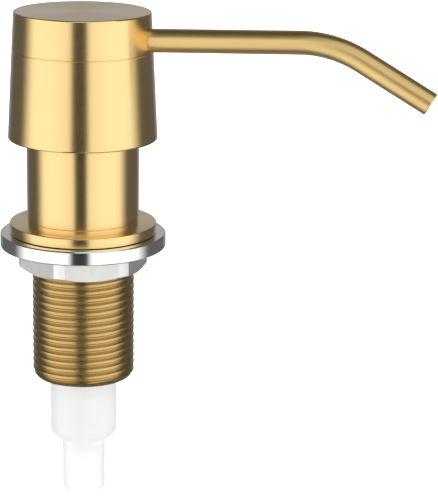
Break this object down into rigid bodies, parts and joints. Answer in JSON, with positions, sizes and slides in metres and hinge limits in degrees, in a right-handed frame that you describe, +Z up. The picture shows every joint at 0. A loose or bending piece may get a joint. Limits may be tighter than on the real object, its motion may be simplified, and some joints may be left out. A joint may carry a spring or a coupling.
{
  "type": "soap pump dispenser",
  "caption": "Deck-mounted soap pump: press head with a bent spout over a sleeve, flanged threaded shank with clamp washer and lock nut, and a long plastic pump chamber.",
  "frame": {"origin": "on the pump's axis, in the plane of the deck's top, which is the underside of the flange", "axes": "+Z up along the pump's axis; the spout points along +X at rest"},
  "size_m": [0.118, 0.0452, 0.1359],
  "materials": {
    "brushed_gold": "brushed gold PVD coat on brass, satin",
    "thread_gold": "gold PVD coat over a cut thread",
    "polished_nickel": "turned and polished nickel plate",
    "cast_nickel": "nickel plate over a cast hexagon, satin",
    "milky_plastic": "natural polypropylene, translucent milky white",
    "white_plastic": "moulded white acetal",
    "black_rubber": "moulded black rubber",
    "clear_rubber": "pale silicone",
    "stainless": "bright drawn stainless steel"
  },
  "bodies": {
    "base": {"threaded_shank": "thread_gold", "mount_sleeve": "brushed_gold", "deck_gasket": "black_rubber"},
    "washer": {"clamp_washer": "polished_nickel"},
    "nut": {"lock_nut": "cast_nickel"},
    "pump": {"pump_chamber": "milky_plastic", "pump_collar": "white_plastic", "collar_oring": "black_rubber", "chamber_gasket": "clear_rubber", "stem_wiper": "clear_rubber", "ball_cage": "white_plastic", "return_spring": "stainless"},
    "inlet_valve": {"inlet_ball": "stainless"},
    "plunger": {"pump_stem": "white_plastic", "piston": "white_plastic", "piston_seal": "clear_rubber"},
    "outlet_valve": {"outlet_ball": "stainless"},
    "head": {"head_cap": "brushed_gold", "head_skirt": "brushed_gold", "spout_tube": "brushed_gold", "head_insert": "white_plastic", "spout_seal": "black_rubber"}
  },
  "joints": [
    {"name": "pump_lift", "type": "slide", "parent": "base", "child": "pump", "axis": [0, 0, 1], "range_m": [0, 0.104]},
    {"name": "head_press", "type": "slide", "parent": "pump", "child": "plunger", "axis": [0, 0, -1], "range_m": [0, 0.016], "stiffness_N_per_m": 350, "springref_m": -0.015, "deforming": ["return_spring"]},
    {"name": "head_swivel", "type": "hinge", "parent": "plunger", "child": "head", "pos_m": [0, 0, 0.048], "axis": [0, 0, 1], "continuous": true},
    {"name": "inlet_ball_lift", "type": "slide", "parent": "pump", "child": "inlet_valve", "axis": [0, 0, 1], "range_m": [0, 0.002]},
    {"name": "outlet_ball_lift", "type": "slide", "parent": "plunger", "child": "outlet_valve", "axis": [0, 0, 1], "range_m": [0, 0.0012]},
    {"name": "washer_slide", "type": "slide", "parent": "base", "child": "washer", "axis": [0, 0, -1], "range_m": [0, 0.028]},
    {"name": "nut_spin", "type": "hinge", "parent": "washer", "child": "nut", "pos_m": [0, 0, -0.007], "axis": [0, 0, -1], "range_deg": [0, 5040]}
  ],
  "couplings": [
    {"joint": "nut_spin", "follows": "washer_slide", "rad_per_m": 3141.6}
  ]
}
